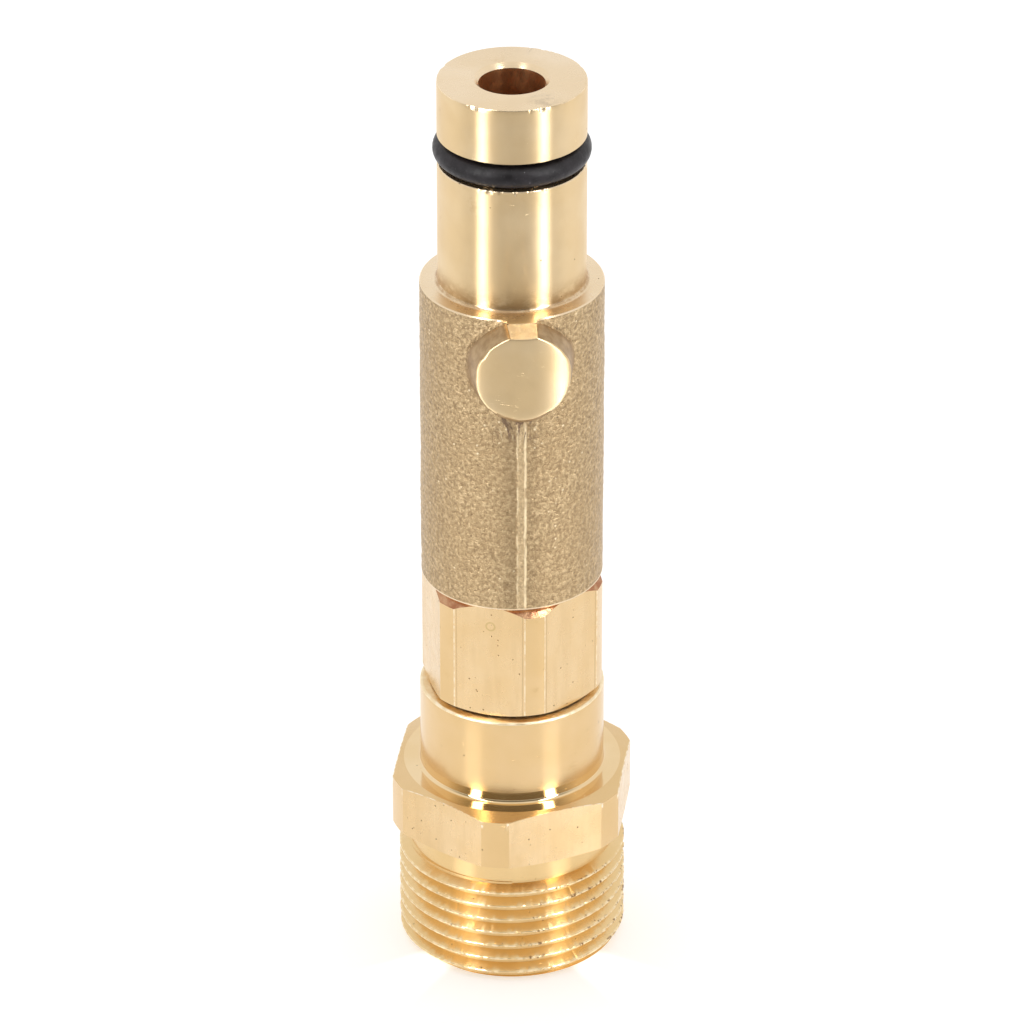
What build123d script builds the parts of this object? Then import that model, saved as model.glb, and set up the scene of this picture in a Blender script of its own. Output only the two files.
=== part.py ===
from build123d import *
import os
from math import cos, radians, sin, tan

# In-line, plug-in pressure relief valve, in millimetres.
# +Z runs along the flow axis from the M22 inlet to the plug-in outlet spigot.
# The origin is the centre of the inlet end face, and the two lugs point along -Y and +Y.

# ---- swivel inlet union: M22x1.5 male thread, hexagon, collar ----
THREAD_R = 11.0
THREAD_PITCH = 1.5
THREAD_DEPTH = 0.6134 * THREAD_PITCH
LOWEST_CREST_Z = 1.04
CREST_COUNT = 7
END_CHAMFER = 0.84
NECK_R = 10.0
NECK_TOP_Z = 13.2
UNION_HEX_AF = 22.0
UNION_HEX_CORNER_R = 12.0
UNION_HEX_TOP_Z = 19.05
UNION_HEX_ANGLE = -13.6
UNION_HEX_CHAMFER_R = 10.5
COLLAR_R = 8.87
COLLAR_TOP_Z = 27.95
COLLAR_TOP_FILLET = 0.25
COLLAR_ROOT_FILLET = 0.35
SOCKET_R = 7.5
SOCKET_DEPTH = 9.6
SOCKET_CHAMFER = 0.8
RETAINER_CHAMBER_R = 7.0
RETAINER_CHAMBER_TOP_Z = 14.6
SWIVEL_BORE_R = 5.55

# ---- hex nipple: stem in the union, hexagon, male thread in the body ----
STEM_R = 5.5
STEM_BOTTOM_Z = 11.4
NIPPLE_PASSAGE_R = 2.75
NIPPLE_HEX_AF = 16.0
NIPPLE_HEX_CORNER_R = 8.75
NIPPLE_HEX_ANGLE = 8.7
NIPPLE_HEX_BOTTOM_Z = 28.15
NIPPLE_HEX_TOP_Z = 40.16
NIPPLE_HEX_TOP_R = 7.9
NIPPLE_HEX_TOP_CHAMFER = 0.85
NIPPLE_HEX_BOTTOM_R = 7.9
NIPPLE_HEX_BOTTOM_CHAMFER = 0.49
NIPPLE_THREAD_R = 6.98
NIPPLE_THREAD_PITCH = 1.0
NIPPLE_NECK_R = 6.3
NIPPLE_NECK_TOP_Z = 41.9
NIPPLE_TOP_Z = 49.5
SEAT_POCKET_R = 4.6
SEAT_POCKET_BOTTOM_Z = 45.6

# ---- valve body: cast barrel with two lugs and a turned spigot ----
BODY_R = 8.65
BODY_BOTTOM_Z = 40.2
SHOULDER_Z = 71.05
SPIGOT_R = 6.95
SPIGOT_ROOT_FILLET = 0.45
BODY_TOP_Z = 91.55
RING_GROOVE_BOTTOM_Z = 83.3
RING_GROOVE_TOP_Z = 86.05
RING_GROOVE_R = 5.15
OUTLET_BORE_R = 3.1
OUTLET_CHAMFER = 0.35
BODY_THREAD_R = 7.02
BODY_COUNTERBORE_R = 7.95
BODY_COUNTERBORE_TOP_Z = 41.5
SEAT_SHOULDER_Z = 50.6
SPRING_CHAMBER_R = 5.6
ADJUSTER_BORE_R = 5.5
ADJUSTER_BORE_BOTTOM_Z = 61.0
ADJUSTER_BORE_TOP_Z = 71.0
LUG_Z = 66.1
LUG_FACE_R = 4.45
LUG_ROOT_R = 5.0
LUG_REACH = 11.2
LUG_INNER_REACH = 7.2
LUG_EDGE_FILLET = 0.2
SEAM_WIDTH = 0.75
SEAM_HEIGHT = 0.12

# ---- relief mechanism ----
BALL_R = 3.25
SEAT_ORIFICE_R = 2.2
SEAT_CONE_BOTTOM_Z = 49.6
SEAT_FLANGE_R = 6.3
SEAT_BOTTOM_Z = 45.8
SEAT_CLEARANCE = 0.02
CARRIER_R = 5.52
CARRIER_NECK_R = 2.75
SPRING_BOTTOM_Z = 55.2
SPRING_TOP_Z = 62.9
SPRING_MEAN_R = 3.7
SPRING_WIRE_R = 0.55
SPRING_TURNS = 4.2
WASHER_THICKNESS = 0.8
ADJUSTER_R = 5.46
ADJUSTER_TOP_Z = 69.7
ADJUSTER_PITCH = 1.0
ADJUSTER_KEY_AF = 5.0
ADJUSTER_RING_Z = 66.7


def revolved(points, angle=360):
    """Turn a closed (radius, height) outline about the Z axis."""
    outline = Polyline(*[(r, 0, z) for r, z in points], close=True)
    return revolve(make_face(outline), Axis.Z, angle)


def turned_bar(radius, bottom_z, top_z):
    """A plain round bar on the Z axis."""
    return Pos(0, 0, (bottom_z + top_z) / 2) * Cylinder(radius, top_z - bottom_z)


def ring(outer_r, inner_r, bottom_z, top_z):
    """A plain flat ring on the Z axis."""
    return turned_bar(outer_r, bottom_z, top_z) - turned_bar(inner_r, bottom_z - 1, top_z + 1)


def hex_bar(across_flats, bottom_z, top_z, angle):
    """A hexagonal bar whose corner points along -Y before it is turned by angle."""
    outline = RegularPolygon(across_flats / 2, 6, major_radius=False, rotation=angle + 30)
    return Pos(0, 0, bottom_z) * extrude(outline, top_z - bottom_z)


def o_ring(inner_r, outer_r, centre_z, height):
    """A seal ring of oval section, as one squeezed in its groove is."""
    middle = Plane.XZ * Pos((inner_r + outer_r) / 2, centre_z)
    section = middle * Ellipse((outer_r - inner_r) / 2, height / 2)
    return revolve(section, Axis.Z, 360)


def crest_points(crest_r, depth, pitch, crest_z):
    """The outline of one thread crest, from its lower flank to its upper flank."""
    half_crest = pitch / 16
    run = depth * tan(radians(30))
    return [
        (crest_r - depth, crest_z - half_crest - run),
        (crest_r, crest_z - half_crest),
        (crest_r, crest_z + half_crest),
        (crest_r - depth, crest_z + half_crest + run),
    ]


def thread_crests(crest_r, depth, pitch, first_z, count):
    """Crests stacked at the thread's pitch, from the lowest upwards."""
    points = []
    for number in range(count):
        points += crest_points(crest_r, depth, pitch, first_z + number * pitch)
    return points


def union_outline():
    """Outer profile of the inlet union below its hexagon, from the end face upwards."""
    crests = thread_crests(THREAD_R, THREAD_DEPTH, THREAD_PITCH, LOWEST_CREST_Z, CREST_COUNT)
    last_crest_z = LOWEST_CREST_Z + (CREST_COUNT - 1) * THREAD_PITCH
    neck_bottom_z = last_crest_z + THREAD_PITCH / 16 + (THREAD_R - NECK_R) * tan(radians(30))
    start = [(0, 0), (THREAD_R - END_CHAMFER, 0), (THREAD_R, END_CHAMFER)]
    finish = [(NECK_R, neck_bottom_z), (NECK_R, NECK_TOP_Z + 0.5), (0, NECK_TOP_Z + 0.5)]
    return start + crests[2:-1] + finish


def union_hexagon():
    """Hexagon turned round at its corners and faced off at 15 degrees on both sides."""
    bar = hex_bar(UNION_HEX_AF, NECK_TOP_Z, UNION_HEX_TOP_Z, UNION_HEX_ANGLE)
    drop = (UNION_HEX_CORNER_R - UNION_HEX_CHAMFER_R) * tan(radians(15))
    envelope = revolved([
        (0, NECK_TOP_Z),
        (UNION_HEX_CHAMFER_R, NECK_TOP_Z),
        (UNION_HEX_CORNER_R, NECK_TOP_Z + drop),
        (UNION_HEX_CORNER_R, UNION_HEX_TOP_Z - drop),
        (UNION_HEX_CHAMFER_R, UNION_HEX_TOP_Z),
        (0, UNION_HEX_TOP_Z),
    ])
    return bar & envelope


def union_collar():
    """Round collar above the hexagon, with a root fillet and a broken top edge."""
    collar = turned_bar(COLLAR_R, UNION_HEX_TOP_Z - 1, COLLAR_TOP_Z)
    collar = fillet(collar.edges().sort_by(Axis.Z)[-1], COLLAR_TOP_FILLET)
    fillet_top_z = UNION_HEX_TOP_Z + COLLAR_ROOT_FILLET
    root = turned_bar(COLLAR_R + COLLAR_ROOT_FILLET, UNION_HEX_TOP_Z - 1, fillet_top_z)
    groove = Pos(0, 0, fillet_top_z) * Torus(COLLAR_R + COLLAR_ROOT_FILLET, COLLAR_ROOT_FILLET)
    return collar + (root - groove)


def inlet_union():
    """M22x1.5 male inlet that turns freely on the nipple's stem."""
    outside = revolved(union_outline()) + union_hexagon() + union_collar()
    inside = revolved([
        (0, -1),
        (SOCKET_R + SOCKET_CHAMFER + 1, -1),
        (SOCKET_R + SOCKET_CHAMFER, 0),
        (SOCKET_R, SOCKET_CHAMFER),
        (SOCKET_R, SOCKET_DEPTH),
        (RETAINER_CHAMBER_R, SOCKET_DEPTH),
        (RETAINER_CHAMBER_R, RETAINER_CHAMBER_TOP_Z),
        (SWIVEL_BORE_R + 0.4, RETAINER_CHAMBER_TOP_Z),
        (SWIVEL_BORE_R, RETAINER_CHAMBER_TOP_Z + 0.4),
        (SWIVEL_BORE_R, COLLAR_TOP_Z + 1),
        (0, COLLAR_TOP_Z + 1),
    ])
    return outside - inside


# Grooves cut in the nipple's stem: (floor radius, bottom, top).
DUST_GROOVE = (4.4, 24.6, 26.2)
PRESSURE_GROOVE = (4.1, 18.4, 21.8)
RETAINER_GROOVE = (4.9, 12.75, 13.75)


def nipple_hexagon():
    """Hexagon of the nipple, turned round at its corners and chamfered at both ends."""
    bar = hex_bar(NIPPLE_HEX_AF, NIPPLE_HEX_BOTTOM_Z, NIPPLE_HEX_TOP_Z, NIPPLE_HEX_ANGLE)
    envelope = revolved([
        (0, NIPPLE_HEX_BOTTOM_Z),
        (NIPPLE_HEX_BOTTOM_R, NIPPLE_HEX_BOTTOM_Z),
        (NIPPLE_HEX_CORNER_R, NIPPLE_HEX_BOTTOM_Z + NIPPLE_HEX_BOTTOM_CHAMFER),
        (NIPPLE_HEX_CORNER_R, NIPPLE_HEX_TOP_Z - NIPPLE_HEX_TOP_CHAMFER),
        (NIPPLE_HEX_TOP_R, NIPPLE_HEX_TOP_Z),
        (0, NIPPLE_HEX_TOP_Z),
    ])
    return bar & envelope


def nipple_thread():
    """Neck and M14x1 male thread that screw into the body."""
    depth = 0.6134 * NIPPLE_THREAD_PITCH
    first_z = NIPPLE_NECK_TOP_Z + 0.9
    crests = thread_crests(NIPPLE_THREAD_R, depth, NIPPLE_THREAD_PITCH, first_z, 6)
    root_r = NIPPLE_THREAD_R - depth
    start = [
        (0, NIPPLE_HEX_TOP_Z - 1),
        (NIPPLE_NECK_R, NIPPLE_HEX_TOP_Z - 1),
        (NIPPLE_NECK_R, NIPPLE_NECK_TOP_Z),
        (root_r, NIPPLE_NECK_TOP_Z),
    ]
    finish = [(root_r, NIPPLE_TOP_Z), (0, NIPPLE_TOP_Z)]
    return revolved(start + crests + finish)


def hex_nipple():
    """Swivel stem, hexagon and male thread, with the passage and the seat's pocket."""
    stem = turned_bar(STEM_R, STEM_BOTTOM_Z, NIPPLE_HEX_BOTTOM_Z + 1)
    stem = chamfer(stem.edges().sort_by(Axis.Z)[0], 0.4)
    nipple = stem + nipple_hexagon() + nipple_thread()
    for floor_r, bottom_z, top_z in (DUST_GROOVE, PRESSURE_GROOVE, RETAINER_GROOVE):
        nipple -= ring(STEM_R + 1, floor_r, bottom_z, top_z)
    nipple -= turned_bar(NIPPLE_PASSAGE_R, STEM_BOTTOM_Z - 1, NIPPLE_TOP_Z)
    return nipple - turned_bar(SEAT_POCKET_R, SEAT_POCKET_BOTTOM_Z, NIPPLE_TOP_Z + 1)


def swivel_seals():
    """Dust ring, pressure ring and backup ring on the stem."""
    running_r = SWIVEL_BORE_R - 0.02
    dust_floor, dust_bottom, dust_top = DUST_GROOVE
    floor, bottom, top = PRESSURE_GROOVE
    backup_height = 1.2
    ring_bottom = bottom + 0.1
    ring_top = top - backup_height - 0.1
    ring_middle = (ring_bottom + ring_top) / 2
    return {
        "swivel_dust_ring": o_ring(dust_floor, running_r, (dust_bottom + dust_top) / 2, 1.4),
        "swivel_pressure_ring": o_ring(floor, running_r, ring_middle, ring_top - ring_bottom),
        "swivel_backup_ring": ring(running_r, floor, top - backup_height, top),
    }


def swivel_retaining_ring():
    """Open snap ring at the stem's end, which holds the union on."""
    _, bottom_z, _ = RETAINER_GROOVE
    low_z = bottom_z + 0.02
    high_z = bottom_z + 0.95
    outline = [(4.95, low_z), (6.5, low_z), (6.5, high_z), (4.95, high_z)]
    return Rot(0, 0, 20) * revolved(outline, 325)


def swivel_thrust_washer():
    """Washer between the snap ring and the union's inner shoulder."""
    return ring(6.75, STEM_R, RETAINER_GROOVE[2], RETAINER_CHAMBER_TOP_Z - 0.06)


def nipple_seal_ring():
    """O-ring in the body's counterbore, round the nipple's neck."""
    centre_z = (NIPPLE_HEX_TOP_Z + BODY_COUNTERBORE_TOP_Z) / 2
    height = BODY_COUNTERBORE_TOP_Z - NIPPLE_HEX_TOP_Z - 0.02
    return o_ring(NIPPLE_NECK_R, BODY_COUNTERBORE_R - 0.05, centre_z, height)


def body_turned_outside():
    """Barrel, shoulder and spigot with the O-ring groove, as one turned profile."""
    spigot_root = []
    for step in (0, 22.5, 45, 67.5, 90):
        out = SPIGOT_ROOT_FILLET * (1 - sin(radians(step)))
        up = SPIGOT_ROOT_FILLET * (1 - cos(radians(step)))
        spigot_root.append((SPIGOT_R + out, SHOULDER_Z + up))
    return revolved([
        (0, BODY_BOTTOM_Z),
        (BODY_R - 0.25, BODY_BOTTOM_Z),
        (BODY_R, BODY_BOTTOM_Z + 0.25),
        (BODY_R, SHOULDER_Z - 0.12),
        (BODY_R - 0.12, SHOULDER_Z),
        *spigot_root,
        (SPIGOT_R, RING_GROOVE_BOTTOM_Z),
        (RING_GROOVE_R, RING_GROOVE_BOTTOM_Z),
        (RING_GROOVE_R, RING_GROOVE_TOP_Z),
        (SPIGOT_R, RING_GROOVE_TOP_Z),
        (SPIGOT_R, BODY_TOP_Z - 0.12),
        (SPIGOT_R - 0.12, BODY_TOP_Z),
        (0, BODY_TOP_Z),
    ])


def lug(side):
    """Round, slightly drafted bayonet lug with its face turned concentric with the body."""
    height = LUG_REACH + 1 - LUG_INNER_REACH
    draft = (LUG_ROOT_R - LUG_FACE_R) / (LUG_REACH - BODY_R)
    root_r = LUG_FACE_R + draft * (LUG_REACH - LUG_INNER_REACH)
    tip_r = LUG_FACE_R - draft
    middle = (LUG_INNER_REACH + LUG_REACH + 1) / 2
    boss = Pos(0, side * middle, LUG_Z) * Rot(-90 * side, 0, 0) * Cone(root_r, tip_r, height)
    boss &= turned_bar(LUG_REACH, LUG_Z - 10, SHOULDER_Z)
    face = boss.faces().filter_by(GeomType.CYLINDER).sort_by(SortBy.AREA)[-1]
    return fillet(face.edges(), LUG_EDGE_FILLET)


def seam(side):
    """Trimmed casting flash from the lug down to the body's bottom edge."""
    top_z = LUG_Z
    bottom_z = BODY_BOTTOM_Z + 0.25
    block = Box(SEAM_WIDTH, BODY_R + SEAM_HEIGHT, top_z - bottom_z)
    block = Pos(0, side * (BODY_R + SEAM_HEIGHT) / 2, (top_z + bottom_z) / 2) * block
    return block & turned_bar(BODY_R + SEAM_HEIGHT, bottom_z, top_z)


def body_inside():
    """Counterbore, thread bore, spring chamber, adjuster bore and outlet bore."""
    cone_top_z = ADJUSTER_BORE_TOP_Z + (ADJUSTER_BORE_R - 0.5 - OUTLET_BORE_R) * 0.6
    return revolved([
        (0, BODY_BOTTOM_Z - 1),
        (BODY_COUNTERBORE_R, BODY_BOTTOM_Z - 1),
        (BODY_COUNTERBORE_R, BODY_COUNTERBORE_TOP_Z),
        (BODY_THREAD_R, BODY_COUNTERBORE_TOP_Z),
        (BODY_THREAD_R, SEAT_SHOULDER_Z),
        (SPRING_CHAMBER_R, SEAT_SHOULDER_Z),
        (SPRING_CHAMBER_R, ADJUSTER_BORE_BOTTOM_Z),
        (ADJUSTER_BORE_R, ADJUSTER_BORE_BOTTOM_Z + 0.1),
        (ADJUSTER_BORE_R, ADJUSTER_BORE_TOP_Z),
        (ADJUSTER_BORE_R - 0.5, ADJUSTER_BORE_TOP_Z),
        (OUTLET_BORE_R, cone_top_z),
        (OUTLET_BORE_R, BODY_TOP_Z - OUTLET_CHAMFER),
        (OUTLET_BORE_R + OUTLET_CHAMFER, BODY_TOP_Z),
        (OUTLET_BORE_R + OUTLET_CHAMFER + 1, BODY_TOP_Z + 1),
        (0, BODY_TOP_Z + 1),
    ])


def valve_body():
    """One casting: barrel, two lugs and spigot."""
    body = body_turned_outside()
    for side in (-1, 1):
        body += lug(side)
        body += seam(side)
    return body - body_inside()


def spigot_o_ring():
    """The O-ring that seals the plugged-in spigot; it stands proud of the land."""
    cord_r = 1.1
    centre_z = RING_GROOVE_BOTTOM_Z + 0.24 + cord_r
    return Pos(0, 0, centre_z) * Torus(RING_GROOVE_R + 0.01 + cord_r, cord_r)


def valve_seat():
    """Hard seat insert, clamped by its flange between the nipple and the body."""
    cone_top_r = SEAT_ORIFICE_R + SEAT_SHOULDER_Z - SEAT_CONE_BOTTOM_Z
    return revolved([
        (SEAT_ORIFICE_R, SEAT_BOTTOM_Z),
        (SEAT_POCKET_R - 0.03, SEAT_BOTTOM_Z),
        (SEAT_POCKET_R - 0.03, 47.0),
        (3.7, 47.0),
        (3.7, 48.3),
        (SEAT_POCKET_R - 0.03, 48.3),
        (SEAT_POCKET_R - 0.03, NIPPLE_TOP_Z),
        (SEAT_FLANGE_R, NIPPLE_TOP_Z),
        (SEAT_FLANGE_R, SEAT_SHOULDER_Z),
        (cone_top_r, SEAT_SHOULDER_Z),
        (SEAT_ORIFICE_R, SEAT_CONE_BOTTOM_Z),
    ])


def ball_centre_z():
    """Height at which the ball rests in the seat's 45 degree cone."""
    apex_z = SEAT_CONE_BOTTOM_Z - SEAT_ORIFICE_R
    return apex_z + (BALL_R + SEAT_CLEARANCE) / sin(radians(45))


def ball_carrier():
    """Three-lobed guide that holds the ball down and carries the spring."""
    bottom_z = ball_centre_z() + 0.6
    flange = turned_bar(CARRIER_R, bottom_z, SPRING_BOTTOM_Z)
    for number in range(3):
        flat = Pos(0, 6.3, (bottom_z + SPRING_BOTTOM_Z) / 2) * Box(12, 4, SPRING_BOTTOM_Z - bottom_z)
        flange -= Rot(0, 0, 120 * number) * flat
    neck = turned_bar(CARRIER_NECK_R, SPRING_BOTTOM_Z - 0.5, SPRING_BOTTOM_Z + 3)
    neck = chamfer(neck.edges().sort_by(Axis.Z)[-1], 0.4)
    carrier = flange + neck
    return carrier - Pos(0, 0, ball_centre_z()) * Sphere(BALL_R + SEAT_CLEARANCE)


def relief_spring():
    """Compression spring with both ends ground flat."""
    height = SPRING_TOP_Z - SPRING_BOTTOM_Z
    pitch = height / SPRING_TURNS
    coil = Helix(pitch, height, SPRING_MEAN_R, center=(0, 0, SPRING_BOTTOM_Z))
    section = Plane(coil @ 0, z_dir=coil % 0) * Circle(SPRING_WIRE_R)
    wire = sweep(section, path=coil, is_frenet=True)
    return wire & turned_bar(SPRING_MEAN_R + 2, SPRING_BOTTOM_Z + 0.01, SPRING_TOP_Z - 0.01)


def adjusting_screw():
    """Hollow screw that loads the spring, turned by a 5 mm key through the outlet bore."""
    bottom_z = SPRING_TOP_Z + WASHER_THICKNESS + 0.02
    depth = 0.6134 * ADJUSTER_PITCH
    crests = thread_crests(ADJUSTER_R, depth, ADJUSTER_PITCH, bottom_z + 0.75, 2)
    upper_crests = thread_crests(ADJUSTER_R, depth, ADJUSTER_PITCH, ADJUSTER_RING_Z + 1.25, 2)
    root_r = ADJUSTER_R - depth
    ring_floor_r = 4.2
    outline = [
        (0, bottom_z),
        (root_r, bottom_z),
        *crests,
        (root_r, ADJUSTER_RING_Z - 0.6),
        (ring_floor_r, ADJUSTER_RING_Z - 0.6),
        (ring_floor_r, ADJUSTER_RING_Z + 0.6),
        (root_r, ADJUSTER_RING_Z + 0.6),
        *upper_crests,
        (root_r, ADJUSTER_TOP_Z),
        (0, ADJUSTER_TOP_Z),
    ]
    return revolved(outline) - hex_bar(ADJUSTER_KEY_AF, bottom_z - 1, ADJUSTER_TOP_Z + 1, 0)


def build_parts():
    """Every piece of the valve, by name."""
    washer_top_z = SPRING_TOP_Z + WASHER_THICKNESS
    parts = {
        "valve_body": valve_body(),
        "spigot_o_ring": spigot_o_ring(),
        "hex_nipple": hex_nipple(),
        "nipple_seal_ring": nipple_seal_ring(),
        "inlet_union": inlet_union(),
        "swivel_retaining_ring": swivel_retaining_ring(),
        "swivel_thrust_washer": swivel_thrust_washer(),
        "valve_seat": valve_seat(),
        "seat_seal_ring": o_ring(3.7, SEAT_POCKET_R - 0.01, 47.65, 1.28),
        "valve_ball": Pos(0, 0, ball_centre_z()) * Sphere(BALL_R),
        "ball_carrier": ball_carrier(),
        "relief_spring": relief_spring(),
        "spring_top_washer": ring(5.2, 2.6, SPRING_TOP_Z, washer_top_z),
        "adjusting_screw": adjusting_screw(),
        "adjuster_friction_ring": ring(ADJUSTER_R, 4.2, ADJUSTER_RING_Z - 0.6, ADJUSTER_RING_Z + 0.6),
    }
    parts.update(swivel_seals())
    return parts


os.makedirs("parts", exist_ok=True)
for name, solid in build_parts().items():
    export_step(solid, f"parts/{name}.step")
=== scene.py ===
import math

import bmesh
import bpy
import numpy as np
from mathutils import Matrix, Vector


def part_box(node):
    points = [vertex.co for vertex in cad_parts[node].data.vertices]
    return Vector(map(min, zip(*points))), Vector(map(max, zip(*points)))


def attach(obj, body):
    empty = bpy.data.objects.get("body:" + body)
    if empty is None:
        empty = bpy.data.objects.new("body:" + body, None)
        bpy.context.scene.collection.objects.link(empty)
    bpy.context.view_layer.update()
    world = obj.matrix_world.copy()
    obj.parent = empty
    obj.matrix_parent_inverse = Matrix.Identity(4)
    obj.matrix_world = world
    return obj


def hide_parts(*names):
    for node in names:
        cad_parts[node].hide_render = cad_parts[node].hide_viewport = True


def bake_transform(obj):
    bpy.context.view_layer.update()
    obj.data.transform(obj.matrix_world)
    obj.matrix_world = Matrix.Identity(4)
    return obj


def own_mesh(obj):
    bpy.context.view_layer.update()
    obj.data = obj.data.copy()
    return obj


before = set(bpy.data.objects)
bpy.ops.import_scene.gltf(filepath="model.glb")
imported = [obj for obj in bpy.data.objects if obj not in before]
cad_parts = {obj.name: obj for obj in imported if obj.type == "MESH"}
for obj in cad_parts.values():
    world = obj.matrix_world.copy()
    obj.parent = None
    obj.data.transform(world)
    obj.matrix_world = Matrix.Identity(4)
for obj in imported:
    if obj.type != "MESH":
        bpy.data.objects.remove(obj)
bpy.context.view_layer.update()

# Lengths are millimetres and +Z runs up the flow axis, as in the frame, until a mesh is scaled to metres.
MM = 0.001
FRONT = math.radians(-90)


def node_heights(node):
    """Lowest and highest height of a CAD node, in millimetres."""
    low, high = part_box(node)
    return low.z / MM, high.z / MM


# ---- camera, in metres and degrees, with its lens in millimetres; the thread starts at its azimuth ----
CAMERA_AZIMUTH = -5.8
CAMERA_DISTANCE = 0.520
CAMERA_HEIGHT = 0.3371
CAMERA_TILT = 29.235
CAMERA_LENS = 220.47
CAMERA_SENSOR = 36

# ---- softboxes and the floor's bright bands, in metres and degrees ----
STRIP_AZIMUTHS = {"left_strip": -45, "right_strip": 48.5}
STRIP_WIDTH = 0.225
STRIP_BOTTOM, STRIP_TOP = 0.08, 1.60
STRIP_DISTANCE = 1.0
STRIP_RADIANCE = 12
BRIGHT_FLOOR_AZIMUTH = 46

# ---- valve body ----
BODY_BOTTOM, BODY_TOP = node_heights("valve_body")
BODY_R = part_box("valve_body")[1].x / MM
LUG_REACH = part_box("valve_body")[1].y / MM
BODY_CHAMFER = 0.1
TURNED_LAND = BODY_BOTTOM + 0.22
SHOULDER = BODY_TOP - 20.5
SHOULDER_CHAMFER = 0.12
SPIGOT_R = 6.95
SPIGOT_ROOT_FILLET = 0.45
SPIGOT_RIM_ROUND = 0.14
RING_GROOVE = (5.15, BODY_TOP - 8.25, BODY_TOP - 5.5)
RING_GROOVE_EDGE = 0.08
EDGE_ROWS_BELOW_GROOVE = (0.40, 0.36)
EDGE_ROWS_BELOW_RIM = (0.45, 0.41)
OUTLET_R = 3.1
OUTLET_CHAMFER = 0.4
OUTLET_EDGE = (0.05, 0.03)
OUTLET_DEPTH = SHOULDER + 1.09
OUTLET_CONE_R = 5.0
ADJUSTER_BORE_R = 5.5
ADJUSTER_BORE = (SHOULDER - 9.95, SHOULDER - 0.05)
SPRING_CHAMBER_R = 5.6
SEAT_SHOULDER = BODY_BOTTOM + 10.4
BODY_THREAD_R = 7.02
COUNTERBORE_R = 7.95
COUNTERBORE_TOP = BODY_BOTTOM + 1.3
LUG_Z = BODY_TOP - 25.45
LUG_FACE_R = 4.45
LUG_ROOT_R = 5.0
LUG_ROOT_FILLET = 0.42
LUG_FILLET = 0.2
LUG_INNER_REACH = 7.2
LUG_TRIM = 0.957
SEAM_HALF_WIDTH = 0.37
LEFT_SEAM_RISE, RIGHT_SEAM_RISE = 0.07, 0.17

# ---- inlet union ----
UNION_BOTTOM, UNION_TOP = node_heights("inlet_union")
THREAD_R = 11.0
THREAD_PITCH = 1.5
THREAD_ROOT_R = THREAD_R - 0.6134 * THREAD_PITCH
LOWEST_CREST = UNION_BOTTOM + 1.04
CREST_COUNT = 7
LAST_CREST = LOWEST_CREST + (CREST_COUNT - 1) * THREAD_PITCH
END_CHAMFER = 0.84
NECK_R = 10.0
NECK_TOP = UNION_BOTTOM + 13.2
HEX_TOP = UNION_BOTTOM + 19.05
HEX_FLATS = 22.0
HEX_CORNER_R = 12.0
HEX_CHAMFER_R = 10.5
HEX_ANGLE = math.radians(-13.6)
COLLAR_R = 8.87
COLLAR_ROOT_FILLET = 0.35
COLLAR_EDGE = 0.25
POLISHED_ROOT = (HEX_TOP - 0.05, HEX_TOP + 1.05)
SOCKET_R = 7.5
SOCKET_CHAMFER = 0.8
SOCKET_TOP = UNION_BOTTOM + 9.6
RETAINER_CHAMBER_R = 7.0
RETAINER_CHAMBER_TOP = UNION_BOTTOM + 14.6
SWIVEL_BORE_R = 5.55
SWIVEL_LEAD_IN = 0.4
SWIVEL_MOUTH = 0.25

# ---- hex nipple ----
NIPPLE_FLATS = 16.0
NIPPLE_ANGLE = math.radians(8.7)
NIPPLE_CORNER_R = 8.75
NIPPLE_HEX_TOP = BODY_BOTTOM - 0.04
NIPPLE_HEX_HEIGHT = 12
LEFT_FLAT = FRONT + NIPPLE_ANGLE - math.radians(30)
MARK_R = 0.42
MARK_SIDE, MARK_HEIGHT = 0.1, NIPPLE_HEX_TOP - 2.2
MARK = (
    NIPPLE_FLATS / 2 * math.cos(LEFT_FLAT) - MARK_SIDE * math.sin(LEFT_FLAT),
    NIPPLE_FLATS / 2 * math.sin(LEFT_FLAT) + MARK_SIDE * math.cos(LEFT_FLAT),
    MARK_HEIGHT,
)

# ---- relief spring ----
SPRING_BOTTOM, SPRING_TOP = node_heights("relief_spring")
SPRING_MEAN_R = 3.7
SPRING_WIRE_R = 0.55
SPRING_TURNS = 4.2


# ---------------------------------------------------------------- random surfaces

def hashed(lattice, seed):
    """A repeatable random value from -1 to 1 for each lattice point."""
    mixed = lattice @ np.array([374761393, 668265263, 1442695041]) + seed * 1274126177
    mixed = (mixed ^ (mixed >> 13)) * 1103515245
    mixed = (mixed ^ (mixed >> 16)) & 0xFFFFF
    return mixed / 0x7FFFF - 1


def rough(points, cell, seed):
    """Smooth random values from -1 to 1 that change over a distance of one cell."""
    scaled = points / np.asarray(cell, float)
    base = np.floor(scaled).astype(np.int64)
    part = scaled - base
    part = part * part * (3 - 2 * part)
    total = np.zeros(len(points))
    for corner in range(8):
        step = np.array([corner & 1, corner >> 1 & 1, corner >> 2 & 1])
        total += np.prod(np.where(step, part, 1 - part), axis=1) * hashed(base + step, seed)
    return total


def ramp(value, start, end):
    """0 before start, 1 after end and a smooth rise between them."""
    share = np.clip((value - start) / (end - start), 0, 1)
    return share * share * (3 - 2 * share)


# ---------------------------------------------------------------- mesh helpers

def mesh_object(name, points, faces):
    """A new object from points in millimetres, with its faces turned outwards."""
    mesh = bpy.data.meshes.new(name)
    mesh.from_pydata([tuple(point) for point in points], [], faces)
    shell = bmesh.new()
    shell.from_mesh(mesh)
    bmesh.ops.recalc_face_normals(shell, faces=shell.faces)
    shell.to_mesh(mesh)
    shell.free()
    piece = bpy.data.objects.new(name, mesh)
    bpy.context.scene.collection.objects.link(piece)
    return piece


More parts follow.
